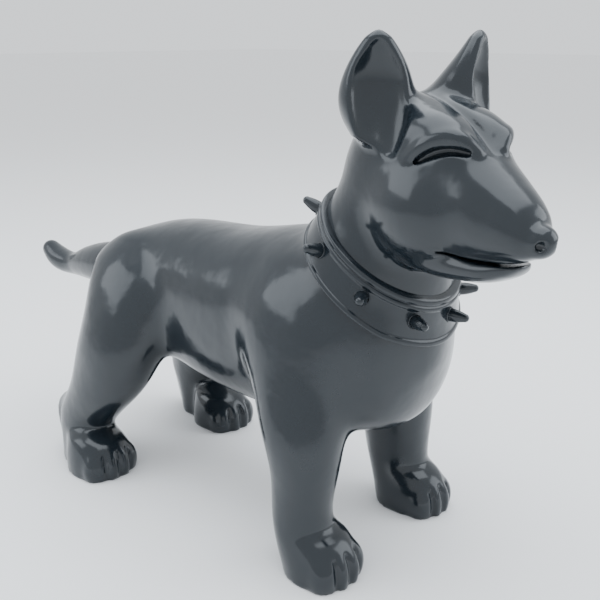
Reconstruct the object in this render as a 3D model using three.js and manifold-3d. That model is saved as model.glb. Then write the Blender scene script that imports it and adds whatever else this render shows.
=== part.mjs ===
import * as THREE from 'three';
import { mergeVertices } from 'three/addons/utils/BufferGeometryUtils.js';
import Module from 'manifold-3d';

// Cast resin sculpture of a standing bull terrier with a spiked collar.
// Millimetres, +Z up, the dog looks along -Y, its left side is +X.
// The figure is one hollow-cast piece with its collar, modelled here as one solid.

// Driving sizes
const height = 800;
const headTurn = -18;
const collarSlope = 35;
const collarWidth = 58;
const collarThickness = 8;
const collarBeadWidth = 7;
const collarBeadHeight = 2.5;
const spikeCount = 9;
const spikeTurn = -5;
const spikeDiameter = 17.5;
const spikeTipDiameter = 9;
const spikeLength = 30;
const spikeRingDiameter = 23.5;
const spikeRingHeight = 2;

// Fineness of the faceted surface
const cell = 8;
const faceBudget = 6400;

// The figure's pose, proportions and carving are given in hundredths of its height.
const share = height / 100;
const far = 1e3;

// A natural cubic spline through rows of [t, a, b, ...], as one function for each column after t
function columns(rows) {
  const t = rows.map((row) => row[0]);
  const last = t.length - 1;
  return rows[0].slice(1).map((_, index) => {
    const value = rows.map((row) => row[index + 1]);
    const bend = new Array(last + 1).fill(0);
    const pivot = new Array(last + 1).fill(0);
    for (let i = 1; i < last; i += 1) {
      const before = t[i] - t[i - 1];
      const after = t[i + 1] - t[i];
      const scale = 2 * (before + after) - before * pivot[i - 1];
      const slopes = (value[i + 1] - value[i]) / after - (value[i] - value[i - 1]) / before;
      pivot[i] = after / scale;
      bend[i] = (6 * slopes - before * bend[i - 1]) / scale;
    }
    for (let i = last - 1; i > 0; i -= 1) bend[i] -= pivot[i] * bend[i + 1];
    return (at) => {
      let i = 0;
      while (i < last - 1 && at > t[i + 1]) i += 1;
      const step = t[i + 1] - t[i];
      const p = THREE.MathUtils.clamp((at - t[i]) / step, 0, 1);
      const q = 1 - p;
      const curve = ((q * q * q - q) * bend[i] + (p * p * p - p) * bend[i + 1]) * step * step / 6;
      return q * value[i] + p * value[i + 1] + curve;
    };
  });
}

// Shapes: a distance function, negative inside, with the low and high corners of its box.

function egg([cx, cy, cz], [rx, ry, rz]) {
  return {
    low: [cx - rx, cy - ry, cz - rz],
    high: [cx + rx, cy + ry, cz + rz],
    distance(x, y, z) {
      const u = (x - cx) / rx;
      const v = (y - cy) / ry;
      const w = (z - cz) / rz;
      const size = Math.hypot(u, v, w);
      const slope = Math.hypot(u / rx, v / ry, w / rz);
      return slope > 1e-9 ? size * (size - 1) / slope : -Math.min(rx, ry, rz);
    },
  };
}

// A round bar through [x, y, z, radius] rows, along a smooth curve
function bar(rows, steps = 14) {
  const keyed = rows.map((row, index) => [index, ...row]);
  const [fx, fy, fz, fr] = columns(keyed);
  const spots = [];
  for (let i = 0; i <= steps; i += 1) {
    const t = (rows.length - 1) * i / steps;
    spots.push([fx(t), fy(t), fz(t), fr(t)]);
  }
  const low = [0, 1, 2].map((axis) => Math.min(...spots.map((spot) => spot[axis] - spot[3])));
  const high = [0, 1, 2].map((axis) => Math.max(...spots.map((spot) => spot[axis] + spot[3])));
  return {
    low,
    high,
    distance(x, y, z) {
      let best = far;
      for (let i = 0; i < steps; i += 1) {
        const a = spots[i];
        const b = spots[i + 1];
        const ex = b[0] - a[0];
        const ey = b[1] - a[1];
        const ez = b[2] - a[2];
        const along = (x - a[0]) * ex + (y - a[1]) * ey + (z - a[2]) * ez;
        const p = Math.min(Math.max(along / (ex * ex + ey * ey + ez * ez), 0), 1);
        const reach = Math.hypot(x - a[0] - p * ex, y - a[1] - p * ey, z - a[2] - p * ez);
        best = Math.min(best, reach - a[3] - p * (b[3] - a[3]));
      }
      return best;
    },
  };
}

// Sections on parallel planes, as [t, middle u, half u, middle v, half v] rows, joined smoothly.
// u and v are the two other axes in order, power squares the section off, and cap rounds the ends.
function loft(axis, rows, power, cap) {
  const [midU, halfU, midV, halfV] = columns(rows);
  const first = rows[0][0];
  const last = rows[rows.length - 1][0];
  const axisU = axis === 0 ? 1 : 0;
  const axisV = axis === 2 ? 1 : 2;
  const low = [0, 0, 0];
  const high = [0, 0, 0];
  low[axis] = first;
  high[axis] = last;
  low[axisU] = Math.min(...rows.map((row) => row[1] - row[2])) - 1;
  high[axisU] = Math.max(...rows.map((row) => row[1] + row[2])) + 1;
  low[axisV] = Math.min(...rows.map((row) => row[3] - row[4])) - 1;
  high[axisV] = Math.max(...rows.map((row) => row[3] + row[4])) + 1;
  return {
    low,
    high,
    distance(x, y, z) {
      const at = [x, y, z];
      const t = at[axis];
      const a = Math.max(halfU(t), 0.2);
      const b = Math.max(halfV(t), 0.2);
      const u = Math.abs(at[axisU] - midU(t)) / a;
      const v = Math.abs(at[axisV] - midV(t)) / b;
      const size = Math.max((u ** power + v ** power) ** (1 / power), 1e-6);
      const grade = size ** (1 - power);
      const gu = grade * u ** (power - 1) / a;
      const gv = grade * v ** (power - 1) / b;
      const q = Math.max(first + cap - t, t - last + cap, 0) / cap;
      const whole = Math.hypot(size, q);
      const slope = Math.hypot(size * gu, size * gv, q / cap) / whole;
      return (whole - 1) / Math.max(slope, 1e-6);
    },
  };
}

// The same shape turned by an angle about the upright line through (x, y)
function turned(shape, degrees, [px, py] = [0, 0]) {
  const angle = THREE.MathUtils.degToRad(degrees);
  const c = Math.cos(angle);
  const s = Math.sin(angle);
  const low = [far, far, shape.low[2]];
  const high = [-far, -far, shape.high[2]];
  for (const cornerX of [shape.low[0], shape.high[0]]) {
    for (const cornerY of [shape.low[1], shape.high[1]]) {
      const x = px + c * (cornerX - px) - s * (cornerY - py);
      const y = py + s * (cornerX - px) + c * (cornerY - py);
      low[0] = Math.min(low[0], x);
      low[1] = Math.min(low[1], y);
      high[0] = Math.max(high[0], x);
      high[1] = Math.max(high[1], y);
    }
  }
  return {
    low,
    high,
    distance(x, y, z) {
      const u = px + c * (x - px) + s * (y - py);
      const v = py - s * (x - px) + c * (y - py);
      return shape.distance(u, v, z);
    },
  };
}

// The figure: shapes joined or cut one after another, each with the width of its soft seam
const forms = [];

function join(shape, seam) {
  forms.push({ ...shape, seam, sign: 1 });
}

function cut(shape, seam) {
  forms.push({ ...shape, seam, sign: -1 });
}

function figure(x, y, z) {
  let depth = far;
  for (const { low, high, seam, sign, distance } of forms) {
    const room = seam + 2.5;
    if (x < low[0] - room || y < low[1] - room || z < low[2] - room) continue;
    if (x > high[0] + room || y > high[1] + room || z > high[2] + room) continue;
    const other = sign * distance(x, y, z);
    const near = Math.max(seam - Math.abs(depth - other), 0) / seam;
    const fillet = near * near * near * seam / 6;
    depth = sign > 0 ? Math.min(depth, other) - fillet : Math.max(depth, other) + fillet;
  }
  return depth;
}

// [t, half width, top, bottom] rows of a form on the middle plane
function upright(rows) {
  return rows.map(([t, half, top, bottom]) => [t, 0, half, (top + bottom) / 2, (top - bottom) / 2]);
}

function trunk() {
  join(loft(1, upright([
    [-13.8, 8, 51, 36],
    [-9.8, 12.4, 56.5, 30],
    [-3, 15.8, 61, 26],
    [8, 17.3, 63.6, 24.5],
    [20, 16.8, 62.6, 23.6],
    [34, 15.8, 60.1, 23.6],
    [46, 14.4, 59.4, 24.8],
    [58, 13.4, 58.2, 28.8],
    [69, 12.6, 54.6, 34.5],
    [77, 10, 49.8, 36],
    [83, 6.8, 45.6, 37],
  ]), 2.2, 5), 1);
  join(bar([
    [0, 76, 43, 6.4],
    [0, 85, 42.7, 5.8],
    [0, 95, 41.3, 4.3],
    [0, 102, 39.8, 3],
    [0, 109, 40, 3.1],
    [0, 113.6, 42, 2.4],
  ], 24), 3);
}

function neck() {
  join(loft(2, [
    [38, 0, 12, 4, 12],
    [47, 0, 15, 3, 15.4],
    [58, 0, 14.6, 0.5, 14.8],
    [68, -0.4, 12, -2.4, 12.1],
    [77, -0.8, 9.2, -5.6, 9.5],
    [85, -1.2, 6.8, -9, 7],
  ], 2, 4), 5);
}

// A leg down one side, from [z, middle x, half x, middle y, half y] rows with x given unsigned.
// The left legs stand a little off the right ones.
function leg(side, rows) {
  join(loft(2, rows.map(([z, x, halfX, y, halfY]) => [z, side * x, halfX, y, halfY]), 2.1, 5), 8);
}

function forelegs() {
  leg(-1, [
    [-4, 16.9, 6.1, 0.6, 6.1],
    [6, 17.2, 5.9, 2.8, 5.9],
    [12, 17.4, 5.7, 3.6, 5.8],
    [20, 17.2, 6.2, 3.3, 6.5],
    [28, 16.5, 7.4, 4.3, 8],
    [38, 14.1, 8, 7, 9.5],
    [50, 11.4, 7.2, 8.3, 10.6],
    [58, 9.5, 4.6, 8, 7.4],
  ]);
  leg(1, [
    [-4, 16.3, 6.2, 2.4, 6],
    [6, 16.5, 5.9, 4.8, 6.3],
    [12, 16.6, 5.8, 6, 7.1],
    [20, 16.3, 6.8, 6.4, 8],
    [28, 15.6, 7.9, 7.8, 9.5],
    [38, 13.4, 8, 9.3, 10.6],
    [50, 11.4, 7.2, 9.3, 11],
    [58, 9.5, 4.6, 9, 7.4],
  ]);
}

function hock(side, middle, heel) {
  join(bar([
    [side * middle, heel - 3.4, 13.6, 2.7],
    [side * middle, heel, 10.6, 2.9],
    [side * middle, heel - 3, 4, 3.8],
  ], 8), 1.8);
}

function hindlegs() {
  leg(-1, [
    [-4, 19, 6, 73, 6.8],
    [6, 19, 5.6, 73.4, 6.2],
    [12, 18.6, 5.8, 72, 8.4],
    [18, 17.8, 6.7, 67.4, 9.8],
    [24, 16.6, 7.6, 64.2, 11.2],
    [30, 15.3, 8.4, 62.5, 11.8],
    [38, 12.8, 8.8, 61.8, 11.8],
    [47, 10, 7.5, 63, 10.8],
    [54, 8, 4, 66, 6],
  ]);
  leg(1, [
    [-4, 18.4, 6, 71.4, 6.6],
    [6, 18.4, 5.8, 73.3, 6.6],
    [12, 18.2, 6, 73.4, 9],
    [18, 17.6, 6.8, 71, 10.6],
    [24, 16.4, 7.6, 67.4, 11.8],
    [30, 15.2, 8.4, 64.4, 12],
    [38, 12.8, 8.8, 62, 11.8],
    [47, 10, 7.5, 62.6, 10.8],
    [54, 8, 4, 65, 6],
  ]);
  hock(-1, 18.8, 80.4);
  hock(1, 18.4, 80);
}

// A paw is a flat-soled mitten with four low toes. Toes are given as shares of its half sizes.
function paw(x, y, halfX, halfY) {
  join(loft(2, [
    [-4, x, halfX * 0.97, y, halfY * 0.97],
    [1, x, halfX, y, halfY],
    [4.5, x, halfX * 0.97, y + 0.3, halfY * 0.95],
    [7.6, x, halfX * 0.8, y + 1.4, halfY * 0.78],
    [10.4, x, halfX * 0.6, y + 2.6, halfY * 0.55],
  ], 2.2, 3), 3);
  const toes = [
    [-0.72, -0.6, 0.34],
    [-0.26, -0.82, 0.36],
    [0.26, -0.82, 0.36],
    [0.72, -0.6, 0.34],
  ];
  for (const [across, along, radius] of toes) {
    join(egg([x + across * halfX, y + along * halfY, 2.6], [radius * halfX, 2.3, 3.6]), 1.4);
  }
}

// The head is given looking straight ahead and then turned on the neck.
const headPivot = [0, -4];
const place = (shape) => turned(shape, headTurn, headPivot);

function head() {
  join(place(loft(1, upright([
    [-40, 2.2, 72, 67.6],
    [-37, 4.2, 75.4, 66.9],
    [-33, 5.8, 78.4, 65.8],
    [-28, 7.3, 81.6, 64.7],
    [-22.5, 8.3, 85, 63.3],
    [-16, 9.7, 88.6, 62.2],
    [-9, 10.9, 89.9, 62.2],
    [-2, 9.8, 87.4, 65],
    [3, 7, 81.5, 69],
  ]), 2.2, 3)), 4.5);
  join(place(loft(1, upright([
    [-35.7, 2.5, 66.6, 64.6],
    [-33, 4, 66.4, 63],
    [-27, 5.5, 66.3, 61.4],
    [-20, 6.6, 66.8, 60.7],
    [-12, 7.4, 68, 61.2],
  ]), 2.4, 1.5)), 2.4);
  join(place(egg([0, -39.2, 70.4], [2.5, 2.5, 2.5])), 2);
  for (const side of [-1, 1]) {
    join(place(egg([side * 6.4, -15.8, 71.8], [5.3, 9.5, 8.2])), 4);
    join(place(egg([side * 4, -17, 83.6], [4.2, 8.4, 4.4])), 4);
    join(place(bar([
      [side * 2.7, -27.1, 82.2, 0.6],
      [side * 4.2, -26, 83.7, 0.8],
      [side * 5.8, -24.4, 84.4, 0.7],
      [side * 7.1, -22.4, 83.9, 0.6],
      [side * 8, -20.4, 82.5, 0.7],
      [side * 8.4, -18.2, 80.4, 0.5],
    ])), 1.8);
    cut(place(bar([
      [side * 3.8, -26.3, 81.9, 0.4],
      [side * 5, -24.8, 82.3, 1],
      [side * 6.3, -22.9, 82.2, 1.3],
      [side * 7.5, -21, 81.3, 1],
      [side * 8.3, -18.9, 79.7, 0.4],
    ])), 0.9);
    ear(side);
  }
  cut(place(bar([
    [0, -8, 90.5, 0.4],
    [0, -14, 89.5, 0.6],
    [0, -20, 87.3, 0.6],
    [0, -24.5, 84.9, 0.6],
    [0, -28, 82.5, 0.4],
  ])), 1.8);
  cut(place(loft(1, [
    [-41, 0, 6, 66.4, 0.35],
    [-34, 0, 8, 66, 0.45],
    [-28, 0, 9, 65.8, 0.45],
    [-22.6, 0, 9, 66.5, 0.35],
  ], 2, 1)), 0.5);
}

// An ear is a leaf-shaped cone that opens forwards and outwards and leans back a little.
function ear(side) {
  const x = side * 9.2;
  const front = side < 0 ? -12.7 : -15.2;
  const lean = 0.2;
  const facing = (shape) => place(turned(shape, side * 32, [x, front + 3.2]));
  const wall = [
    [82, 3.2, 4.4],
    [85.5, 5.5, 7],
    [89.5, 6.3, 6],
    [94.5, 4.9, 3.4],
    [98, 2.8, 1.8],
    [100, 1.2, 1],
  ];
  const hollow = [
    [80, 2.4, 1.6],
    [84.5, 4.6, 3.4],
    [90, 5.2, 3.9],
    [94.5, 4, 2.8],
    [97, 2.1, 1.4],
    [98.6, 0.8, 0.7],
  ];
  const leaned = (rows, sunk) => rows.map(([z, half, depth]) => {
    const y = front + lean * (z - 91) + sunk * depth;
    return [z, x, half, y, depth];
  });
  join(facing(loft(2, leaned(wall, 1), 2, 1.4)), 2.4);
  cut(facing(loft(2, leaned(hollow, 0), 2, 1)), 1);
}

trunk();
forelegs();
hindlegs();
neck();
head();
paw(-16.8, 0.3, 6.9, 7.9);
paw(16.4, 0.9, 6.1, 7.2);
paw(-20.7, 66.7, 7, 8.4);
paw(17, 63.3, 6.9, 7.8);

// Whether an order of the four places 0 to 3 is an odd one
function isOdd(order) {
  let swaps = 0;
  order.forEach((place, index) => {
    for (const later of order.slice(index + 1)) if (later < place) swaps += 1;
  });
  return swaps % 2 === 1;
}

// Marching tetrahedra over a grid of cells: always closed, however the forms meet
function skin() {
  const step = cell / share;
  const low = [0, 1, 2].map((axis) => Math.min(...forms.map((form) => form.low[axis])) - 2);
  const high = [0, 1, 2].map((axis) => Math.max(...forms.map((form) => form.high[axis])) + 2);
  const count = low.map((value, axis) => Math.ceil((high[axis] - value) / step) + 1);
  const [nx, ny, nz] = count;
  const depth = new Float32Array(nx * ny * nz);
  const spot = (index) => {
    const i = index % nx;
    const j = Math.floor(index / nx) % ny;
    const k = Math.floor(index / (nx * ny));
    return [low[0] + i * step, low[1] + j * step, low[2] + k * step];
  };
  for (let index = 0; index < depth.length; index += 1) depth[index] = figure(...spot(index));
  const points = [];
  const faces = [];
  const known = new Map();
  const corner = (inside, outside) => {
    const key = Math.min(inside, outside) * depth.length + Math.max(inside, outside);
    if (!known.has(key)) {
      const a = spot(inside);
      const b = spot(outside);
      const p = THREE.MathUtils.clamp(depth[inside] / (depth[inside] - depth[outside]), 0.03, 0.97);
      known.set(key, points.length);
      points.push([0, 1, 2].map((axis) => a[axis] + p * (b[axis] - a[axis])));
    }
    return known.get(key);
  };
  const face = (a, b, c, flip) => faces.push(flip ? [a, c, b] : [a, b, c]);
  const strides = [1, nx, nx * ny];
  const orders = [[0, 1, false], [1, 2, false], [2, 0, false], [0, 2, true], [2, 1, true], [1, 0, true]];
  const whole = strides[0] + strides[1] + strides[2];
  for (let k = 0; k < nz - 1; k += 1) {
    for (let j = 0; j < ny - 1; j += 1) {
      for (let i = 0; i < nx - 1; i += 1) {
        const start = i + nx * (j + ny * k);
        for (const [first, second, odd] of orders) {
          const tet = [start, start + strides[first], start + strides[first] + strides[second], start + whole];
          const inside = [0, 1, 2, 3].filter((place) => depth[tet[place]] < 0);
          const outside = [0, 1, 2, 3].filter((place) => depth[tet[place]] >= 0);
          if (inside.length === 0 || outside.length === 0) continue;
          const few = inside.length === 3 ? [...outside, ...inside] : [...inside, ...outside];
          const flip = isOdd(few) !== odd;
          const at = (m, n) => corner(tet[few[m]], tet[few[n]]);
          if (inside.length === 1) {
            face(at(0, 1), at(0, 2), at(0, 3), flip);
          } else if (inside.length === 3) {
            face(at(0, 1), at(0, 2), at(0, 3), !flip);
          } else {
            face(at(0, 2), at(0, 3), at(1, 3), flip);
            face(at(0, 2), at(1, 3), at(1, 2), flip);
          }
        }
      }
    }
  }
  return { points, faces };
}

// Edges are drawn together, cheapest first, until the surface is down to its number of faces.
// A place's cost is its squared distance from the planes of the faces that it stands for.
function thinned({ points, faces }, budget) {
  const corners = points.map((point) => new THREE.Vector3(...point));
  const planes = points.map(() => new Float64Array(10));
  const side = new THREE.Vector3();
  const normal = new THREE.Vector3();
  const faceNormal = (a, b, c, target) => target.subVectors(b, a).cross(side.subVectors(c, a));
  for (const [a, b, c] of faces) {
    const area = faceNormal(corners[a], corners[b], corners[c], normal).length();
    if (area < 1e-12) continue;
    normal.divideScalar(area);
    const plane = [normal.x, normal.y, normal.z, -normal.dot(corners[a])];
    for (const vertex of [a, b, c]) {
      let slot = 0;
      for (let i = 0; i < 4; i += 1) {
        for (let j = i; j < 4; j += 1) {
          planes[vertex][slot] += area * plane[i] * plane[j];
          slot += 1;
        }
      }
    }
  }
  const q = new Float64Array(10);
  const cost = (x, y, z) => q[0] * x * x + q[4] * y * y + q[7] * z * z + q[9]
    + 2 * (q[1] * x * y + q[2] * x * z + q[5] * y * z + q[3] * x + q[6] * y + q[8] * z);
  const bestSpot = (a, b) => {
    for (let slot = 0; slot < 10; slot += 1) q[slot] = planes[a][slot] + planes[b][slot];
    const from = corners[a];
    const to = corners[b];
    const minorX = q[4] * q[7] - q[5] * q[5];
    const minorY = q[2] * q[5] - q[1] * q[7];
    const minorZ = q[1] * q[5] - q[2] * q[4];
    const whole = q[0] * minorX + q[1] * minorY + q[2] * minorZ;
    const trace = q[0] + q[4] + q[7];
    if (Math.abs(whole) > 1e-4 * trace ** 3) {
      const x = -(minorX * q[3] + minorY * q[6] + minorZ * q[8]) / whole;
      const y = -(minorY * q[3] + (q[0] * q[7] - q[2] * q[2]) * q[6] + (q[1] * q[2] - q[0] * q[5]) * q[8]) / whole;
      const z = -(minorZ * q[3] + (q[1] * q[2] - q[0] * q[5]) * q[6] + (q[0] * q[4] - q[1] * q[1]) * q[8]) / whole;
      const reach = Math.hypot(x - (from.x + to.x) / 2, y - (from.y + to.y) / 2, z - (from.z + to.z) / 2);
      if (reach < from.distanceTo(to)) return [cost(x, y, z), a, b, x, y, z];
    }
    let best = null;
    for (const part of [0, 0.5, 1]) {
      const x = from.x + part * (to.x - from.x);
      const y = from.y + part * (to.y - from.y);
      const z = from.z + part * (to.z - from.z);
      const price = cost(x, y, z);
      if (best === null || price < best[0]) best = [price, a, b, x, y, z];
    }
    return best;
  };
  const before = new THREE.Vector3();
  const after = new THREE.Vector3();
  const folds = (around, moved, other, spot) => around.some((id) => {
    const triangle = faces[id];
    if (triangle.includes(other)) return false;
    const kept = triangle.map((vertex) => corners[vertex]);
    const shifted = triangle.map((vertex) => (vertex === moved ? spot : corners[vertex]));
    faceNormal(...kept, before);
    faceNormal(...shifted, after);
    return before.dot(after) < 0.4 * before.length() * after.length() || after.length() < 1e-4;
  });
  while (faces.length > budget) {
    const around = corners.map(() => []);
    faces.forEach((triangle, id) => triangle.forEach((vertex) => around[vertex].push(id)));
    const edges = [];
    for (const [a, b, c] of faces) {
      if (a < b) edges.push(bestSpot(a, b));
      if (b < c) edges.push(bestSpot(b, c));
      if (c < a) edges.push(bestSpot(c, a));
    }
    edges.sort((one, two) => one[0] - two[0]);
    const busy = new Uint8Array(corners.length);
    const into = corners.map((_, index) => index);
    let left = faces.length;
    for (const [, a, b, x, y, z] of edges.slice(0, Math.ceil(edges.length / 3))) {
      if (left <= budget) break;
      if (busy[a] || busy[b]) continue;
      const spot = new THREE.Vector3(x, y, z);
      const ringA = new Set(around[a].flatMap((id) => faces[id]));
      const ringB = new Set(around[b].flatMap((id) => faces[id]));
      let shared = 0;
      for (const vertex of ringA) if (ringB.has(vertex)) shared += 1;
      if (shared !== 4 || folds(around[a], a, b, spot) || folds(around[b], b, a, spot)) continue;
      for (const vertex of [...ringA, ...ringB]) busy[vertex] = 1;
      corners[a] = spot;
      planes[a] = planes[a].map((value, slot) => value + planes[b][slot]);
      into[b] = a;
      left -= 2;
    }
    const fewer = faces
      .map((triangle) => triangle.map((vertex) => into[vertex]))
      .filter(([a, b, c]) => a !== b && b !== c && c !== a);
    if (fewer.length === faces.length) break;
    faces = fewer;
  }
  return { points: corners.map((point) => point.toArray()), faces };
}

const wasm = await Module();
wasm.setup();

function solid(geometry) {
  const bare = geometry.clone();
  bare.deleteAttribute('normal');
  bare.deleteAttribute('uv');
  const merged = mergeVertices(bare, 1e-3);
  const vertProperties = new Float32Array(merged.attributes.position.array);
  const triVerts = new Uint32Array(merged.index.array);
  return new wasm.Manifold(new wasm.Mesh({ numProp: 3, vertProperties, triVerts }));
}

function geometryOf(points, faces) {
  const geometry = new THREE.BufferGeometry();
  geometry.setAttribute('position', new THREE.Float32BufferAttribute(points.flat(), 3));
  geometry.setIndex(faces.flat());
  return geometry;
}

// The collar band lies round the neck on a plane that falls from the nape to the throat.
const collarMiddle = new THREE.Vector3(1.6, -3.85, 58.85).multiplyScalar(share);
const collarTilt = THREE.MathUtils.degToRad(collarSlope);
const firstSpike = THREE.MathUtils.degToRad(spikeTurn);
const collarSteps = 44;
const collarAxis = new THREE.Vector3(0, -Math.sin(collarTilt), Math.cos(collarTilt));
const collarFront = new THREE.Vector3(0, -Math.cos(collarTilt), -Math.sin(collarTilt));
const collarRight = new THREE.Vector3(-1, 0, 0);

// The outward direction at an angle round the collar, and where the neck's skin is along it
function collarPoint(angle, up = 0) {
  const out = collarFront.clone().multiplyScalar(Math.cos(angle)).addScaledVector(collarRight, Math.sin(angle));
  const start = collarMiddle.clone().addScaledVector(collarAxis, up);
  let inner = 0;
  let outer = 30 * share;
  for (let i = 0; i < 30; i += 1) {
    const middle = (inner + outer) / 2;
    const spot = start.clone().addScaledVector(out, middle).divideScalar(share);
    if (figure(spot.x, spot.y, spot.z) < 0) inner = middle;
    else outer = middle;
  }
  return { out, start, radius: inner };
}

// The way straight out of the skin at a spot, felt over a short reach each way
function skinNormal({ x, y, z }, feel = 0.5) {
  return new THREE.Vector3(
    figure(x + feel, y, z) - figure(x - feel, y, z),
    figure(x, y + feel, z) - figure(x, y - feel, z),
    figure(x, y, z + feel) - figure(x, y, z - feel),
  ).normalize();
}

function collar() {
  const half = collarWidth / 2;
  const bead = collarBeadWidth;
  const proud = collarThickness;
  const crest = proud + collarBeadHeight;
  const sunk = -collarThickness;
  const section = [
    [sunk, -half],
    [proud * 0.6, -half],
    [crest, -half + bead * 0.4],
    [proud, -half + bead],
    [proud, half - 2.4 * bead],
    [crest, half - 1.9 * bead],
    [proud, half - 1.3 * bead],
    [crest, half - 0.6 * bead],
    [proud * 0.6, half],
    [sunk, half],
  ];
  const points = [];
  const faces = [];
  for (let i = 0; i < collarSteps; i += 1) {
    const angle = 2 * Math.PI * i / collarSteps;
    for (const [reach, up] of section) {
      const { out, start, radius } = collarPoint(angle, up);
      points.push(start.clone().addScaledVector(out, radius + reach).toArray());
    }
    const next = ((i + 1) % collarSteps) * section.length;
    section.forEach((_, j) => {
      const k = (j + 1) % section.length;
      const here = i * section.length;
      faces.push([here + j, next + k, next + j], [here + j, here + k, next + k]);
    });
  }
  return solid(geometryOf(points, faces));
}

// One tapered, round-nosed spike standing in a low ring, along +Y from the band's face
function spikeShape() {
  const r = spikeDiameter / 2;
  const tip = spikeTipDiameter / 2;
  const ring = spikeRingDiameter / 2;
  const straight = spikeLength - tip;
  const nose = [0.4, 0.75].map((part) => {
    const turn = part * Math.PI / 2;
    return new THREE.Vector2(tip * Math.cos(turn), straight + tip * Math.sin(turn));
  });
  return new THREE.LatheGeometry([
    new THREE.Vector2(0, -collarThickness),
    new THREE.Vector2(ring, -collarThickness),
    new THREE.Vector2(ring, spikeRingHeight * 0.4),
    new THREE.Vector2(ring - spikeRingHeight * 0.6, spikeRingHeight),
    new THREE.Vector2(r, spikeRingHeight),
    new THREE.Vector2(tip + (r - tip) * 0.62, straight * 0.55),
    new THREE.Vector2(tip, straight),
    ...nose,
    new THREE.Vector2(0, spikeLength),
  ], 10);
}

function spikes() {
  const shape = spikeShape();
  const up = new THREE.Vector3(0, 1, 0);
  return Array.from({ length: spikeCount }, (_, index) => {
    const angle = firstSpike + 2 * Math.PI * index / spikeCount;
    const { out, start, radius } = collarPoint(angle);
    const seat = start.clone().addScaledVector(out, radius);
    const normal = skinNormal(seat.clone().divideScalar(share));
    const turn = new THREE.Quaternion().setFromUnitVectors(up, normal);
    seat.addScaledVector(out, collarThickness);
    return solid(shape.clone().applyQuaternion(turn).translate(...seat.toArray()));
  });
}

const body = thinned(skin(), faceBudget);
let dogSolid = solid(geometryOf(body.points.map((point) => point.map((value) => value * share)), body.faces));
dogSolid = dogSolid.add(collar());
for (const spike of spikes()) dogSolid = dogSolid.add(spike);
const under = new THREE.BoxGeometry(4 * height, 4 * height, height).translate(0, 0, -height / 2);
dogSolid = dogSolid.subtract(solid(under));

// The origin is moved to the middle of the outline's box, on the floor.
const { numProp, vertProperties, triVerts } = dogSolid.getMesh();
const geometry = new THREE.BufferGeometry();
geometry.setAttribute('position', new THREE.BufferAttribute(new Float32Array(vertProperties), numProp));
geometry.setIndex(Array.from(triVerts));
geometry.computeBoundingBox();
const { min, max } = geometry.boundingBox;
geometry.translate(-(min.x + max.x) / 2, -(min.y + max.y) / 2, -min.z);
geometry.computeVertexNormals();

const material = new THREE.MeshStandardMaterial({ color: 0x4b5258, roughness: 0.18, metalness: 0.1 });
const dog = new THREE.Mesh(geometry, material);
dog.name = 'dog_sculpture';
const group = new THREE.Group();
group.add(dog);

export default group;
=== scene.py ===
import math

import bpy
import numpy as np
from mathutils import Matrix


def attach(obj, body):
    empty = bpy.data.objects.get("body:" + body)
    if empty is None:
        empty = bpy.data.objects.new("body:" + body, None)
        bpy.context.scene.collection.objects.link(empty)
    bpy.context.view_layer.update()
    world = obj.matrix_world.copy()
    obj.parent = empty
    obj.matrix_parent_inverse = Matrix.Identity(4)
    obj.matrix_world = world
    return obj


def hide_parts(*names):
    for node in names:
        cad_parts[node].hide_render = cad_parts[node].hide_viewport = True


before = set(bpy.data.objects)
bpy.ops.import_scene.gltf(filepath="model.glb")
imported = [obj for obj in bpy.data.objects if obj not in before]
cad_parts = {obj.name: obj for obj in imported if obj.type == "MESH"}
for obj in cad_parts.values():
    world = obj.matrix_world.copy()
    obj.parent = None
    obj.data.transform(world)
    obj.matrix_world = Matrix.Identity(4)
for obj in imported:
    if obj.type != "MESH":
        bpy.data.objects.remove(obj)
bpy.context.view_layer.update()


# Trunk and tail
# The barrel of a standing bull terrier, cast in resin in a sculpted mould and hollow inside.
# It is laid out in hundredths of the figure's height, nose towards -Y, with y = 0 at the front
# paws. Each form is a smooth solid, and forms flow into one another with a soft seam.

height = 0.8
share = height / 100
origin = np.array([-1.9086, 38.0344, 0.0])  # where the frame's origin lies in this layout
far_off = 1000.0
least_half = 0.2  # the least half size of a section, where a curve runs past its rows
spare = 1  # room round a form's box for the same curves
near_zero = 1e-6


def splined(rows):
    """A smooth curve through rows of [t, a, b, ...]; it gives an array of [a, b, ...] at each t."""
    table = np.array(rows, float)
    t = table[:, 0]
    heights = table[:, 1:]
    steps = np.diff(t)
    slopes = np.diff(heights, axis=0) / steps[:, None]
    system = np.eye(len(t))
    pull = np.zeros_like(heights)
    for i in range(1, len(t) - 1):
        system[i, i - 1:i + 2] = [steps[i - 1], 2 * (steps[i - 1] + steps[i]), steps[i]]
        pull[i] = 6 * (slopes[i] - slopes[i - 1])
    bend = np.linalg.solve(system, pull)

    def curve(at):
        piece = np.clip(np.searchsorted(t, at) - 1, 0, len(t) - 2)
        step = steps[piece][:, None]
        p = np.clip((at[:, None] - t[piece][:, None]) / step, 0, 1)
        q = 1 - p
        bow = ((q ** 3 - q) * bend[piece] + (p ** 3 - p) * bend[piece + 1]) * step ** 2 / 6
        return q * heights[piece] + p * heights[piece + 1] + bow

    return curve


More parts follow.
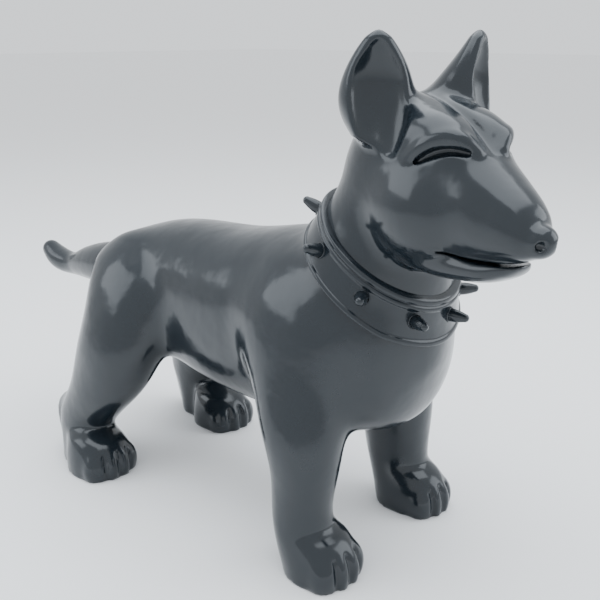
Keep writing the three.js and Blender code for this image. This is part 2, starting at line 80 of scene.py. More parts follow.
def loft(axis, rows, power, cap):
    """A form lofted along an axis through rows of [t, middle u, half u, middle v, half v].

    The power sets how square its sections are, and the cap how far in from each end it rounds off.
    It gives the form's box and a function for how far spots are outside it, as every form does.
    """
    curve = splined(rows)
    table = np.array(rows, float)
    first = table[0, 0]
    last = table[-1, 0]
    axis_u = 1 if axis == 0 else 0
    axis_v = 1 if axis == 2 else 2
    low = np.zeros(3)
    high = np.zeros(3)
    low[axis] = first
    high[axis] = last
    for across, column in ((axis_u, 1), (axis_v, 3)):
        low[across] = (table[:, column] - table[:, column + 1]).min() - spare
        high[across] = (table[:, column] + table[:, column + 1]).max() + spare

    def depth(spots):
        t = spots[:, axis]
        mid_u, half_u, mid_v, half_v = curve(t).T
        a = np.maximum(half_u, least_half)
        b = np.maximum(half_v, least_half)
        u = np.abs(spots[:, axis_u] - mid_u) / a
        v = np.abs(spots[:, axis_v] - mid_v) / b
        size = np.maximum((u ** power + v ** power) ** (1 / power), near_zero)
        grade = size ** (1 - power)
        slope_u = size * grade * u ** (power - 1) / a
        slope_v = size * grade * v ** (power - 1) / b
        over = np.maximum(np.maximum(first + cap - t, t - last + cap), 0) / cap
        whole = np.hypot(size, over)
        slope = np.sqrt(slope_u ** 2 + slope_v ** 2 + (over / cap) ** 2) / whole
        return (whole - 1) / np.maximum(slope, near_zero)

    return low, high, depth


def bar(rows, steps=14):
    """A round bar along a smooth curve through rows of [x, y, z, radius]."""
    curve = splined([[index, *row] for index, row in enumerate(rows)])
    beads = curve(np.linspace(0, len(rows) - 1, steps + 1))
    low = (beads[:, :3] - beads[:, 3:]).min(axis=0)
    high = (beads[:, :3] + beads[:, 3:]).max(axis=0)

    def depth(spots):
        nearest = np.full(len(spots), far_off)
        for start, end in zip(beads[:-1], beads[1:]):
            way = end[:3] - start[:3]
            part = np.clip((spots - start[:3]) @ way / (way @ way), 0, 1)
            reach = np.linalg.norm(spots - start[:3] - part[:, None] * way, axis=1)
            nearest = np.minimum(nearest, reach - start[3] - part * (end[3] - start[3]))
        return nearest

    return low, high, depth


forms = []


def join(shape, seam):
    """Adds a form to the figure, with a fillet about as wide as the seam."""
    forms.append((*shape, seam, 1))


def cut(shape, seam):
    """Cuts a form out of the figure, with edges rounded over about the seam's width."""
    forms.append((*shape, seam, -1))


def upright(rows):
    """Rows of [t, half width, top, bottom] for a form on the middle plane."""
    return [[t, 0, half, (top + bottom) / 2, (top - bottom) / 2] for t, half, top, bottom in rows]


join(loft(1, upright([
    [-13.8, 8, 51, 36],
    [-9.8, 12.4, 56.5, 30],
    [-3, 15.8, 61, 26],
    [8, 17.3, 63.6, 24.5],
    [20, 16.8, 62.6, 23.6],
    [34, 15.8, 60.1, 23.6],
    [46, 14.4, 59.4, 24.8],
    [58, 13.4, 58.2, 28.8],
    [69, 12.6, 54.6, 34.5],
    [77, 10, 49.8, 36],
    [83, 6.8, 45.6, 37],
]), power=2.2, cap=5), seam=1)
join(bar([
    [0, 76, 43, 6.4],
    [0, 85, 42.7, 5.8],
    [0, 95, 41.3, 4.3],
    [0, 102, 39.8, 3],
    [0, 109, 40, 3.1],
    [0, 113.6, 42, 2.4],
], steps=60), seam=3)


# Legs
# Four straight, heavy legs, cast in one with the trunk. The left ones stand a little off the
# right ones. The hind ones bend at the stifle and have a hock that juts out behind.

def leg(side, rows):
    """A leg down one side, from [z, middle x, half x, middle y, half y] rows with x given unsigned."""
    placed = [[z, side * x, half_x, y, half_y] for z, x, half_x, y, half_y in rows]
    join(loft(2, placed, power=2.1, cap=5), seam=8)


def hock(side, middle, heel):
    """The hock's point and the heel below it, down the back of a hind leg."""
    join(bar([
        [side * middle, heel - 3.4, 13.6, 2.7],
        [side * middle, heel, 10.6, 2.9],
        [side * middle, heel - 3, 4, 3.8],
    ], steps=8), seam=1.8)


leg(-1, [
    [-4, 16, 4.8, 0, 5],
    [5, 17.1, 5.8, 2.4, 5.9],
    [12, 17.4, 5.7, 3.6, 5.8],
    [20, 17.2, 6.2, 3.3, 6.5],
    [28, 16.5, 7.4, 4.3, 8],
    [38, 13.8, 7.6, 7.6, 10.2],
    [50, 11, 6.8, 9, 11.6],
    [58, 9, 4.4, 9, 8],
])
leg(1, [
    [-4, 16.3, 6.2, 2.4, 6],
    [6, 16.5, 5.9, 4.8, 6.3],
    [12, 16.6, 5.8, 6, 7.1],
    [20, 16.3, 6.8, 6.4, 8],
    [28, 15.6, 7.9, 7.8, 9.5],
    [38, 13.2, 7.7, 9.5, 11],
    [50, 11, 6.8, 9.6, 11.6],
    [58, 9, 4.4, 9.4, 8],
])
leg(-1, [
    [-4, 19, 6, 73, 6.8],
    [6, 19, 5.6, 73.4, 6.2],
    [12, 18.6, 5.8, 72, 8.4],
    [18, 17.8, 6.7, 67.4, 9.8],
    [24, 16.6, 7.6, 64.2, 11.2],
    [30, 15.3, 8.4, 62.5, 11.8],
    [38, 12.8, 8.8, 61.8, 11.8],
    [47, 10, 7.5, 63, 10.8],
    [54, 8, 4, 66, 6],
])
leg(1, [
    [-4, 18.4, 6, 71.4, 6.6],
    [6, 18.4, 5.8, 73.3, 6.6],
    [12, 18.2, 6, 73.4, 9],
    [18, 17.6, 6.8, 71, 10.6],
    [24, 16.4, 7.6, 67.4, 11.8],
    [30, 15.2, 8.4, 64.4, 12],
    [38, 12.8, 8.8, 62, 11.8],
    [47, 10, 7.5, 62.6, 10.8],
    [54, 8, 4, 65, 6],
])
hock(-1, 18.8, 80.4)
hock(1, 18.4, 80)


# Neck, head and ears
# The head is a smooth egg-shaped wedge with a furrow down the forehead, hooded eyes, a small
# nose and a mouth that is a little open. It is laid out looking straight ahead, and then
# turned on the neck towards the dog's right.

join(loft(2, [
    [38, 0, 12, 4, 12],
    [47, 0, 15, 3, 15.4],
    [58, 0, 14.6, 0.5, 14.8],
    [68, -0.4, 12, -2.4, 12.1],
    [77, -0.8, 9.2, -5.6, 9.5],
    [85, -1.2, 6.8, -9, 7],
], power=2, cap=4), seam=5)

head_turn = -18
head_pivot = (0, -4)
tiny = 1e-9


def turned(shape, degrees, pivot):
    """The same shape turned about the upright line through the pivot."""
    low, high, depth = shape
    c = math.cos(math.radians(degrees))
    s = math.sin(math.radians(degrees))
    px, py = pivot
    corners = np.array([[x - px, y - py] for x in (low[0], high[0]) for y in (low[1], high[1])])
    across = px + c * corners[:, 0] - s * corners[:, 1]
    along = py + s * corners[:, 0] + c * corners[:, 1]

    def turned_depth(spots):
        x = spots[:, 0] - px
        y = spots[:, 1] - py
        return depth(np.stack([px + c * x + s * y, py - s * x + c * y, spots[:, 2]], axis=1))

    turned_low = np.array([across.min(), along.min(), low[2]])
    turned_high = np.array([across.max(), along.max(), high[2]])
    return turned_low, turned_high, turned_depth


def place(shape):
    """A form of the straight head, put where the turned head has it."""
    return turned(shape, head_turn, head_pivot)


def egg(middle, radii):
    """An egg with its own radius along each axis."""
    middle = np.array(middle, float)
    radii = np.array(radii, float)

    def depth(spots):
        part = (spots - middle) / radii
        size = np.linalg.norm(part, axis=1)
        slope = np.linalg.norm(part / radii, axis=1)
        return np.where(slope > tiny, size * (size - 1) / np.maximum(slope, tiny), -radii.min())

    return middle - radii, middle + radii, depth


def ear(side):
    """A leaf-shaped cone that opens forwards and outwards and leans back a little."""
    x = side * 9.2
    front = -12.7 if side < 0 else -15.2
    lean = 0.2
    half_way_up = 91
    facing = side * 32
    root = (x, front + 3.2)

    def leaned(rows, sunk):
        return [[z, x, half, front + lean * (z - half_way_up) + sunk * depth, depth]
                for z, half, depth in rows]

    wall = leaned([
        [82, 3.2, 4.4],
        [85.5, 5.5, 7],
        [89.5, 6.3, 6],
        [94.5, 4.9, 3.4],
        [98, 2.8, 1.8],
        [100, 1.2, 1],
    ], 1)
    hollow = leaned([
        [80, 2.4, 1.6],
        [84.5, 4.6, 3.4],
        [90, 5.2, 3.9],
        [94.5, 4, 2.8],
        [97, 2.1, 1.4],
        [98.6, 0.8, 0.7],
    ], 0)
    join(place(turned(loft(2, wall, power=2, cap=1.4), facing, root)), seam=3.6)
    cut(place(turned(loft(2, hollow, power=2, cap=1), facing, root)), seam=1)


# The skull and muzzle in one, then the lower jaw and the nose.
join(place(loft(1, upright([
    [-40, 2.2, 72, 67.6],
    [-37, 4.2, 75.4, 66.9],
    [-33, 5.8, 78.4, 65.8],
    [-28, 7.3, 81.6, 64.7],
    [-22.5, 8.3, 85, 63.3],
    [-16, 9.7, 88.6, 62.2],
    [-9, 10.9, 89.9, 62.2],
    [-2, 9.8, 87.4, 65],
    [3, 7, 81.5, 69],
]), power=2.2, cap=3)), seam=4.5)
join(place(loft(1, upright([
    [-35.7, 2.5, 66.6, 64.6],
    [-33, 4, 66.4, 63],
    [-27, 5.5, 66.3, 61.4],
    [-20, 6.6, 66.8, 60.7],
    [-12, 7.4, 68, 61.2],
]), power=2.4, cap=1.5)), seam=2.4)
join(place(egg([0, -39.2, 70.4], [2.5, 2.5, 2.5])), seam=2)

# On each side a cheek, a bulge of the forehead, a brow, an eye slit, an ear, a nostril and the
# fold at the corner of the mouth.
for side in (-1, 1):
    join(place(egg([side * 6.4, -15.8, 71.8], [5.3, 9.5, 8.2])), seam=4)
    join(place(egg([side * 4, -17, 83.6], [4.3, 8.6, 4.2])), seam=6)
    join(place(bar([
        [side * 2.7, -27.1, 82.2, 0.6],
        [side * 4.2, -26, 83.7, 0.8],
        [side * 5.8, -24.4, 84.4, 0.7],
        [side * 7.1, -22.4, 83.9, 0.6],
        [side * 8, -20.4, 82.5, 0.7],
        [side * 8.4, -18.2, 80.4, 0.5],
    ], steps=30)), seam=2.4)
    cut(place(bar([
        [side * 3.8, -26.3, 81.9, 0.4],
        [side * 5, -24.9, 82.2, 0.7],
        [side * 6.3, -23, 82, 0.85],
        [side * 7.5, -21, 81.1, 0.65],
        [side * 8.4, -18.8, 79.6, 0.3],
    ], steps=30)), seam=1.7)
    ear(side)
    cut(place(egg([side * 1.6, -41.2, 70], [0.7, 1.5, 0.9])), seam=0.4)
    join(place(egg([side * 6.6, -22.4, 66.4], [0.9, 1.4, 1])), seam=1.4)

# The furrow down the forehead, and the slit of the mouth.
cut(place(bar([
    [0, -8, 90.6, 0.3],
    [0, -14, 89.7, 0.5],
    [0, -20, 87.5, 0.5],
    [0, -24.5, 85, 0.5],
    [0, -28, 82.7, 0.3],
], steps=30)), seam=2)
cut(place(loft(1, [
    [-41, 0, 6, 66.3, 0.24],
    [-34, 0, 8, 65.9, 0.28],
    [-28, 0, 9, 65.7, 0.28],
    [-22.6, 0, 9, 66.4, 0.24],
], power=2, cap=1)), seam=0.35)


# Paws
# Each paw is a smooth mitten with four low toes, parted by short clefts over the front edge.
# The soles are flat, and the whole figure stands on them.

# Each toe's place and half width, and each cleft's place, as shares of the paw's half sizes.
toes = ((-0.66, -0.56, 0.32), (-0.24, -0.74, 0.34), (0.24, -0.74, 0.34), (0.66, -0.56, 0.32))
clefts = ((-0.46, -0.84), (0, -0.93), (0.46, -0.84))


def paw(x, y, half_x, half_y):
    """One paw on the floor, with its middle and half sizes in plan."""
    join(loft(2, [
        [-4, x, half_x * 0.96, y, half_y * 0.96],
        [1, x, half_x, y, half_y],
        [4.2, x, half_x * 0.98, y + 0.1, half_y * 0.98],
        [6.8, x, half_x * 0.9, y + 0.5, half_y * 0.9],
        [8.8, x, half_x * 0.76, y + 1.4, half_y * 0.74],
        [10.6, x, half_x * 0.54, y + 2.6, half_y * 0.5],
    ], power=2.2, cap=2.6), seam=3.5)
    for across, along, radius in toes:
        middle = [x + across * half_x, y + along * half_y, 2.4]
        join(egg(middle, [radius * half_x, 2.2, 3.4]), seam=2.2)
    for across, along in clefts:
        cut(bar([
            [x + across * half_x * 0.9, y + along * half_y + 0.6, 6, 0.1],
            [x + across * half_x, y + along * half_y - 0.5, 4, 0.35],
            [x + across * half_x, y + along * half_y - 0.9, 0, 0.4],
        ], steps=6), seam=1.6)


paw(-16.7, -0.9, 6.7, 6.9)
paw(16.4, 0.5, 6.2, 7.1)
paw(-20.9, 65.8, 7.1, 8)
paw(16, 62.9, 6.9, 7.5)


# The cast skin
# The casting's outer surface, drawn over all the forms in one. The mesh is in two pieces that
# meet out of sight under the collar, so that the head and face have finer facets than the body.

form_margin = 2.5  # a form is worked out this far round its box, and its seam more


def figure(spots):
    """How far each spot is outside the figure, in shares; it is negative inside."""
    depth = np.full(len(spots), far_off)
    for low, high, distance, seam, sign in forms:
        room = seam + form_margin
        inside = np.all((spots > low - room) & (spots < high + room), axis=1)
        if not inside.any():
            continue
        other = sign * distance(spots[inside])
        here = depth[inside]
        near = np.maximum(seam - np.abs(here - other), 0) / seam
        fillet = near ** 3 * seam / 6
        if sign > 0:
            depth[inside] = np.minimum(here, other) - fillet
        else:
            depth[inside] = np.maximum(here, other) + fillet
    return depth


collar_middle = np.array([1.6, -3.6, 58.5])
collar_slope = math.radians(36.5)
collar_axis = np.array([0, -math.sin(collar_slope), math.cos(collar_slope)])
block = 4  # cells in one block of the rough grid, which finds where the skin is
rough_reach = 1.4  # a block this many of its sizes from the skin is looked at finely
slope_reach = 0.15  # share of a cell over which a slope is felt
least_steepness = 0.05
longest_move = 0.7  # share of a cell that a corner moves at once


def skinned(low, high, step, part):
    """A closed quad mesh over the figure where part is negative: surface nets drawn onto the skin.

    A rough grid finds the blocks that the skin passes through, and a fine one is worked out only
    there. Each fine cell that the skin crosses gives a corner, which is then moved onto the skin.
    """
    low = np.array(low, float)
    count = np.ceil((np.array(high) - low) / step / block).astype(int) * block + 1

    def depth_at(spots):
        return np.maximum(np.maximum(figure(spots), -spots[:, 2]), part(spots))

    def grid(every):
        axes = [low[axis] + step * np.arange(0, count[axis], every) for axis in range(3)]
        return np.stack(np.meshgrid(*axes, indexing="ij"), axis=-1)

    rough = grid(block)
    coarse = depth_at(rough.reshape(-1, 3)).reshape(rough.shape[:3])
    close = np.abs(coarse) < rough_reach * block * step
    cells = np.zeros([size - 1 for size in coarse.shape], bool)
    for i, j, k in np.ndindex(2, 2, 2):
        cells |= close[i:i + cells.shape[0], j:j + cells.shape[1], k:k + cells.shape[2]]
    cells = cells.repeat(block, 0).repeat(block, 1).repeat(block, 2)
    wanted = np.zeros(count, bool)
    for i, j, k in np.ndindex(2, 2, 2):
        wanted[i:i + cells.shape[0], j:j + cells.shape[1], k:k + cells.shape[2]] |= cells
    spread = [np.minimum((np.arange(size) + block // 2) // block, coarse.shape[axis] - 1)
              for axis, size in enumerate(count)]
    depth = coarse[np.ix_(*spread)]
    depth[wanted] = depth_at(low + step * np.argwhere(wanted))

    solid = depth < 0
    mixed = np.zeros(cells.shape, bool)
    corners = list(np.ndindex(2, 2, 2))
    for i, j, k in corners:
        corner = solid[i:i + cells.shape[0], j:j + cells.shape[1], k:k + cells.shape[2]]
        mixed |= corner != solid[:-1, :-1, :-1]
    base = np.argwhere(mixed)
    number = np.full(cells.shape, -1)
    number[mixed] = np.arange(len(base))
    total = np.zeros((len(base), 3))
    crossings = np.zeros(len(base))
    for start in corners:
        for axis in range(3):
            if start[axis]:
                continue
            end = np.array(start)
            end[axis] = 1
            a = depth[tuple((base + start).T)]
            b = depth[tuple((base + end).T)]
            crosses = (a < 0) != (b < 0)
            spot = base + np.array(start, float)
            spot[:, axis] += a / np.where(crosses, a - b, 1)
            total[crosses] += spot[crosses]
            crossings += crosses
    points = low + step * total / crossings[:, None]

    quads = []
    for axis in range(3):
        one, two = [other for other in range(3) if other != axis]
        trimmed = [slice(1, -1)] * 3
        trimmed[axis] = slice(0, -1)
        ahead = list(trimmed)
        ahead[axis] = slice(1, None)
        here = solid[tuple(trimmed)]
        crossing = np.argwhere(here != solid[tuple(ahead)])
        spot = crossing.copy()
        spot[:, one] += 1
        spot[:, two] += 1
        ring = []
        for back_one, back_two in ((1, 1), (0, 1), (0, 0), (1, 0)):
            cell = spot.copy()
            cell[:, one] -= back_one
            cell[:, two] -= back_two
            ring.append(number[tuple(cell.T)])
        ring = np.stack(ring, axis=1)
        outward = here[tuple(crossing.T)] == (axis != 1)
        ring[~outward] = ring[~outward][:, ::-1]
        quads.append(ring)
    quads = np.concatenate(quads)

    def slope_at(spots, depth_here):
        reach = slope_reach * step
        steps = [depth_at(spots + reach * np.eye(3)[axis]) - depth_here for axis in range(3)]
        return np.stack(steps, axis=1) / reach

    for smoothing in (0.5, 0.5, 0):
        depth_here = depth_at(points)
        slope = slope_at(points, depth_here)
        steep = np.maximum((slope ** 2).sum(axis=1), least_steepness)
        move = -(depth_here / steep)[:, None] * slope
        length = np.linalg.norm(move, axis=1, keepdims=True)
        points = points + move * np.minimum(1, longest_move * step / np.maximum(length, tiny))
        if smoothing:
            around = np.zeros_like(points)
            counts = np.zeros(len(points))
            for turn in range(4):
                np.add.at(around, quads[:, turn], points[quads[:, (turn + 1) % 4]])
                np.add.at(counts, quads[:, turn], 1)
            drift = smoothing * (around / np.maximum(counts, 1)[:, None] - points)
            normal = slope / np.sqrt(steep)[:, None]
            points = points + drift - (drift * normal).sum(axis=1, keepdims=True) * normal
    return points, quads


def above_collar(spots):
    return -(spots - collar_middle) @ collar_axis


def below_collar(spots):
    return (spots - collar_middle) @ collar_axis


def mesh_object(name, points, faces):
    """An object with its place in its mesh; points are in shares, and the mesh is in metres."""
    mesh = bpy.data.meshes.new(name)
    mesh.from_pydata(((np.asarray(points) - origin) * share).tolist(), [], np.asarray(faces).tolist())
    mesh.shade_smooth()
    made = bpy.data.objects.new(name, mesh)
    bpy.context.scene.collection.objects.link(made)
    return made


body_room = ([-29, -18, -1.5], [29, 118, 67])
head_room = ([-32, -46, 44], [16, 18, 102])
body_step = 0.56
head_step = 0.34
body = mesh_object("dog_body", *skinned(*body_room, body_step, below_collar))
head = mesh_object("dog_head", *skinned(*head_room, head_step, above_collar))


# The lacquer
# Slate grey polyester lacquer, sprayed over the resin and left to flow out to a high gloss.
# It is a little uneven in depth, with the faint waves of a hand-finished mould.

class Shade:
    """A shader socket that Python's own signs work on."""

    tree = None

    def __init__(self, socket):
        self.socket = socket

    @classmethod
    def node(cls, kind, settings=None, **inputs):
        """A node of this kind; an input is named by its socket, or by its number as _0, _1 and so on."""
        made = cls.tree.nodes.new(kind)
        for name, value in (settings or {}).items():
            setattr(made, name, value)
        for name, value in inputs.items():
            key = int(name[1:]) if name[1:].isdigit() else name.replace("_", " ")
            socket = made.inputs[key]
            if isinstance(value, Shade):
                cls.tree.links.new(value.socket, socket)
            else:
                socket.default_value = value
        return made

    def sum(self, operation, other, flipped=False):
        first, second = (other, self) if flipped else (self, other)
        return Shade(Shade.node("ShaderNodeMath", {"operation": operation}, _0=first, _1=second).outputs[0])

    def __add__(self, other):
        return self.sum("ADD", other)

    def __radd__(self, other):
        return self.sum("ADD", other, True)

    def __sub__(self, other):
        return self.sum("SUBTRACT", other)

    def __rsub__(self, other):
        return self.sum("SUBTRACT", other, True)

    def __mul__(self, other):
        return self.sum("MULTIPLY", other)

    def __rmul__(self, other):
        return self.sum("MULTIPLY", other, True)


lacquer = bpy.data.materials.new("slate_grey_lacquer")
lacquer.use_nodes = True
Shade.tree = lacquer.node_tree
coat = Shade.tree.nodes["Principled BSDF"]
place_on_piece = Shade(Shade.node("ShaderNodeTexCoord").outputs["Object"])


def noise(scale, detail, roughness=0.5):
    made = Shade.node("ShaderNodeTexNoise", Vector=place_on_piece, Scale=scale,
                      Detail=detail, Roughness=roughness)
    return Shade(made.outputs["Fac"])


deep_slate = (0.006, 0.0095, 0.013, 1)
pale_slate = (0.0125, 0.018, 0.0235, 1)
wave_height = 0.003
ripple_height = 0.0006
peel_height = 0.00001
clouds = noise(5, 3)
mottle = noise(38, 4, 0.6)
waves = noise(14, 1)
ripples = noise(45, 1)
peel = noise(420, 1)
tone = clouds * 0.6 + mottle * 0.4
colour = Shade.node("ShaderNodeMix", {"data_type": "RGBA"}, Factor=tone, _6=deep_slate, _7=pale_slate)
Shade.tree.links.new(colour.outputs[2], coat.inputs["Base Color"])
gloss = 0.13 + 0.1 * mottle
Shade.tree.links.new(gloss.socket, coat.inputs["Roughness"])
relief = waves * wave_height + ripples * ripple_height + peel * peel_height
swell = Shade.node("ShaderNodeBump", Strength=1.0, Distance=1.0, Height=relief)
Shade.tree.links.new(swell.outputs["Normal"], coat.inputs["Normal"])
coat.inputs["IOR"].default_value = 1.45
coat.inputs["Coat Weight"].default_value = 0.15
coat.inputs["Coat Roughness"].default_value = 0.04
for piece in (body, head):
    piece.data.materials.append(lacquer)
    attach(piece, "root")
    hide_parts("dog_sculpture")


# Collar
# A plain raised band, cast in one with the neck, that falls from the nape to the throat. It has
# a lip along its lower edge and a double bead along its upper one.

collar_width = 0.058 / share
collar_thickness = 0.008 / share
bead_width = 0.007 / share
bead_height = 0.0025 / share
edge_height = collar_thickness * 0.45  # the band is thinner at its two edges
collar_steps = 360
deepest_neck = 30.0  # the search for the skin starts between the collar's middle and here
halvings = 26
collar_front = np.array([0, -math.cos(collar_slope), -math.sin(collar_slope)])
collar_right = np.array([-1.0, 0, 0])


def neck_skin(angles, up):
    """Outward directions at angles round the collar, and the spots on the neck's skin along them."""
    out = np.cos(angles)[:, None] * collar_front + np.sin(angles)[:, None] * collar_right
    start = collar_middle + np.asarray(up)[:, None] * collar_axis
    inner = np.zeros(len(angles))
    outer = np.full(len(angles), deepest_neck)
    for _ in range(halvings):
        middle = (inner + outer) / 2
        inside = figure(start + middle[:, None] * out) < 0
        inner = np.where(inside, middle, inner)
        outer = np.where(inside, outer, middle)
    return out, start + inner[:, None] * out


def bead(middle, half, rise, steps=8):
    """The round of one bead across the band, as [height, place across] pairs."""
    turns = np.linspace(math.pi, 0, steps + 1)
    return [[collar_thickness + rise * math.sin(turn), middle + half * math.cos(turn)] for turn in turns]


half_collar = collar_width / 2
face_from = -half_collar + 1.3 * bead_width
face_to = half_collar - 2.6 * bead_width
section = [[-collar_thickness, -half_collar], [edge_height, -half_collar]]
section += bead(-half_collar + bead_width * 0.5, bead_width * 0.5, bead_height)
section += [[collar_thickness, up] for up in np.linspace(face_from, face_to, 8)]
section += bead(half_collar - 1.8 * bead_width, bead_width * 0.45, bead_height)
section += bead(half_collar - 0.6 * bead_width, bead_width * 0.55, bead_height)
section += [[edge_height, half_collar], [-collar_thickness, half_collar]]
section = np.array(section)
angles = np.linspace(0, 2 * math.pi, collar_steps, endpoint=False).repeat(len(section))
reach, up = np.tile(section, (collar_steps, 1)).T
out, skin_spots = neck_skin(angles, up)
ring = np.arange(collar_steps * len(section)).reshape(collar_steps, len(section))
after = np.roll(ring, -1, axis=0)
quads = np.stack([ring, np.roll(ring, -1, axis=1), np.roll(after, -1, axis=1), after], axis=-1)
collar = mesh_object("collar_band", skin_spots + reach[:, None] * out, quads.reshape(-1, 4))
collar.data.materials.append(lacquer)
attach(collar, "root")
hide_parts("dog_sculpture")


# Spikes
# Nine blunt bullet-shaped spikes, evenly spaced round the collar, each standing in a shallow
# ring. They are cast with the band and have its lacquer. A tree sets one spike on each seat.

spike_count = 9
spike_width = 0.0195 / share
spike_tip_width = 0.0125 / share
spike_length = 0.030 / share
ring_width = 0.0235 / share
ring_height = 0.002 / share
first_spike = math.radians(-5)
root_depth = 0.8  # how far a spike is sunk in the band
fullness = 2.2  # a higher power keeps a spike thick for longer before it narrows
sides = 40


def spike_mesh():
    """One spike along +Z from the band's face, turned round its own axis."""
    radius = spike_width / 2
    outer = ring_width / 2
    rim = (outer - radius) / 2
    profile = [[outer, -root_depth]]
    for turn in np.linspace(0, math.pi, 9):
        profile.append([outer - rim + rim * math.cos(turn), ring_height * math.sin(turn)])
    profile.append([radius * 0.98, ring_height * 0.3])
    tip = spike_tip_width / 2
    straight = spike_length - tip
    for up in np.linspace(0.2, 1, 7):
        profile.append([radius + (tip - radius) * up ** fullness, straight * up])
    for turn in np.linspace(0, math.pi / 2, 11)[1:-1]:
        profile.append([tip * math.cos(turn), straight + tip * math.sin(turn)])
    turns = np.linspace(0, 2 * math.pi, sides, endpoint=False)
    points = [[r * math.cos(turn), r * math.sin(turn), z] for r, z in profile for turn in turns]
    points += [[0, 0, spike_length], [0, 0, -root_depth]]
    faces = []
    for row in range(len(profile) - 1):
        for i in range(sides):
            here = row * sides
            j = (i + 1) % sides
            faces.append([here + i, here + j, here + sides + j, here + sides + i])
    last = (len(profile) - 1) * sides
    for i in range(sides):
        faces.append([last + i, last + (i + 1) % sides, len(points) - 2])
        faces.append([(i + 1) % sides, i, len(points) - 1])
    mesh = bpy.data.meshes.new("one_spike")
    mesh.from_pydata((np.array(points) * share).tolist(), [], faces)
    return mesh


spike_angles = first_spike + 2 * math.pi * np.arange(spike_count) / spike_count
out, seats = neck_skin(spike_angles, np.zeros(spike_count))
feel = 0.5 * np.eye(3)  # the skin's slope under each spike is felt half a share each way
normals = np.stack([figure(seats + feel[axis]) - figure(seats - feel[axis]) for axis in range(3)], axis=1)
normals /= np.linalg.norm(normals, axis=1, keepdims=True)
seats = seats + collar_thickness * out
seat_mesh = bpy.data.meshes.new("spike_seats")
seat_mesh.from_pydata(((seats - origin) * share).tolist(), [], [])
outward = seat_mesh.attributes.new("outward", "FLOAT_VECTOR", "POINT")
outward.data.foreach_set("vector", normals.ravel())
spikes = bpy.data.objects.new("collar_spikes", seat_mesh)
bpy.context.scene.collection.objects.link(spikes)
one_spike = bpy.data.objects.new("one_spike", spike_mesh())

tree = bpy.data.node_groups.new("spikes_round_collar", "GeometryNodeTree")
for name, kind in (("Seats", "Geometry"), ("Spike", "Object"),
                   ("Height unevenness", "Float"), ("Lacquer", "Material")):
    tree.interface.new_socket(name, in_out="INPUT", socket_type="NodeSocket" + kind)
tree.interface.new_socket("Spikes", in_out="OUTPUT", socket_type="NodeSocketGeometry")
given = tree.nodes.new("NodeGroupInput")
result = tree.nodes.new("NodeGroupOutput")
source = tree.nodes.new("GeometryNodeObjectInfo")
named = tree.nodes.new("GeometryNodeInputNamedAttribute")
named.data_type = "FLOAT_VECTOR"
named.inputs["Name"].default_value = "outward"
aim = tree.nodes.new("FunctionNodeAlignRotationToVector")
aim.axis = "Z"
uneven = tree.nodes.new("FunctionNodeRandomValue")
uneven.data_type = "FLOAT"
uneven.inputs["Seed"].default_value = 4
least = tree.nodes.new("ShaderNodeMath")
least.operation = "SUBTRACT"
least.inputs[0].default_value = 1.0
scale = tree.nodes.new("ShaderNodeCombineXYZ")
scale.inputs["X"].default_value = 1.0
scale.inputs["Y"].default_value = 1.0
stand = tree.nodes.new("GeometryNodeInstanceOnPoints")
realized = tree.nodes.new("GeometryNodeRealizeInstances")
smooth = tree.nodes.new("GeometryNodeSetShadeSmooth")
painted = tree.nodes.new("GeometryNodeSetMaterial")
link = tree.links.new
link(given.outputs["Seats"], stand.inputs["Points"])
link(given.outputs["Spike"], source.inputs["Object"])
link(source.outputs["Geometry"], stand.inputs["Instance"])
link(named.outputs["Attribute"], aim.inputs["Vector"])
link(aim.outputs["Rotation"], stand.inputs["Rotation"])
link(given.outputs["Height unevenness"], least.inputs[1])
float_least = 2
float_most = 3
link(least.outputs["Value"], uneven.inputs[float_least])
uneven.inputs[float_most].default_value = 1.0
link(uneven.outputs[1], scale.inputs["Z"])
link(scale.outputs["Vector"], stand.inputs["Scale"])
link(stand.outputs["Instances"], realized.inputs["Geometry"])
link(realized.outputs["Geometry"], smooth.inputs["Geometry"])
link(smooth.outputs["Geometry"], painted.inputs["Geometry"])
link(given.outputs["Lacquer"], painted.inputs["Material"])
link(painted.outputs["Geometry"], result.inputs["Spikes"])
maker = spikes.modifiers.new("spikes_round_collar", "NODES")
maker.node_group = tree
sockets = {item.name: item.identifier for item in tree.interface.items_tree if item.in_out == "INPUT"}
maker[sockets["Spike"]] = one_spike
maker[sockets["Height unevenness"]] = 0.02
maker[sockets["Lacquer"]] = lacquer
bpy.context.view_layer.update()
finished = bpy.data.meshes.new_from_object(spikes.evaluated_get(bpy.context.evaluated_depsgraph_get()))
spikes.modifiers.remove(maker)
spikes.data = finished
bpy.data.objects.remove(one_spike)
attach(spikes, "root")
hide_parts("dog_sculpture")


# Studio
# A plain pale floor under soft, slightly cool light. The camera stands where the photograph was
# taken from, which was worked out from the paws on the floor.

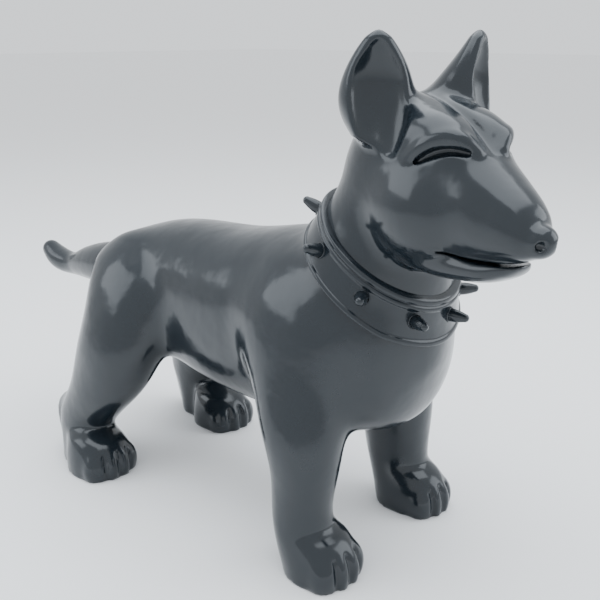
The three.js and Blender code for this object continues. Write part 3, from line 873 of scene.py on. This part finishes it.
edge = 30
floor_mesh = bpy.data.meshes.new("studio_floor")
floor_corners = [(-edge, -edge, 0), (edge, -edge, 0), (edge, edge, 0), (-edge, edge, 0)]
floor_mesh.from_pydata(floor_corners, [], [(0, 1, 2, 3)])
floor = bpy.data.objects.new("studio_floor", floor_mesh)
bpy.context.scene.collection.objects.link(floor)
pale = bpy.data.materials.new("pale_floor")
pale.use_nodes = True
paint = pale.node_tree.nodes["Principled BSDF"]
paint.inputs["Base Color"].default_value = (0.93, 0.93, 0.93, 1)
paint.inputs["Roughness"].default_value = 0.9
floor.data.materials.append(pale)

world = bpy.data.worlds.new("soft_sky")
world.use_nodes = True
sky = world.node_tree.nodes["Background"]
sky.inputs["Color"].default_value = (0.93, 0.965, 1, 1)
sky.inputs["Strength"].default_value = 1.25
bpy.context.scene.world = world


lamp_colour = (0.86, 0.93, 1)


def soft_light(name, spot, aim_at, size, power):
    """A wide lamp at a spot, turned to face another, with its size in metres and power in watts."""
    data = bpy.data.lights.new(name, "AREA")
    data.shape = "RECTANGLE"
    data.size, data.size_y = size
    data.energy = power
    data.color = lamp_colour
    lamp = bpy.data.objects.new(name, data)
    bpy.context.scene.collection.objects.link(lamp)
    lamp.location = spot
    way = np.array(aim_at, float) - np.array(spot, float)
    flat = math.hypot(way[0], way[1])
    lamp.rotation_euler = (math.atan2(flat, -way[2]), 0, math.atan2(way[1], way[0]) - math.pi / 2)


soft_light("overhead", (0.2, 0.0, 3.0), (0, 0, 0.3), (3.4, 3.4), 110)
soft_light("window_side", (-2.4, 2.2, 2.2), (0, 0, 0.4), (2.4, 2.0), 40)
soft_light("front_fill", (2.2, -2.6, 1.8), (0, 0, 0.4), (2.2, 2.0), 40)

camera_spot = np.array([-124.12, -92.71, 99.59])
camera_pitch = math.radians(90 - 17.5)
camera_heading = math.radians(-47.75)
focal_length = 850  # in pixels of the picture
picture_width = 600
camera_data = bpy.data.cameras.new("photo_camera")
camera_data.sensor_width = 36
camera_data.lens = camera_data.sensor_width * focal_length / picture_width
camera = bpy.data.objects.new("photo_camera", camera_data)
bpy.context.scene.collection.objects.link(camera)
camera.location = (camera_spot - origin) * share
camera.rotation_euler = (camera_pitch, 0, camera_heading)
bpy.context.scene.camera = camera
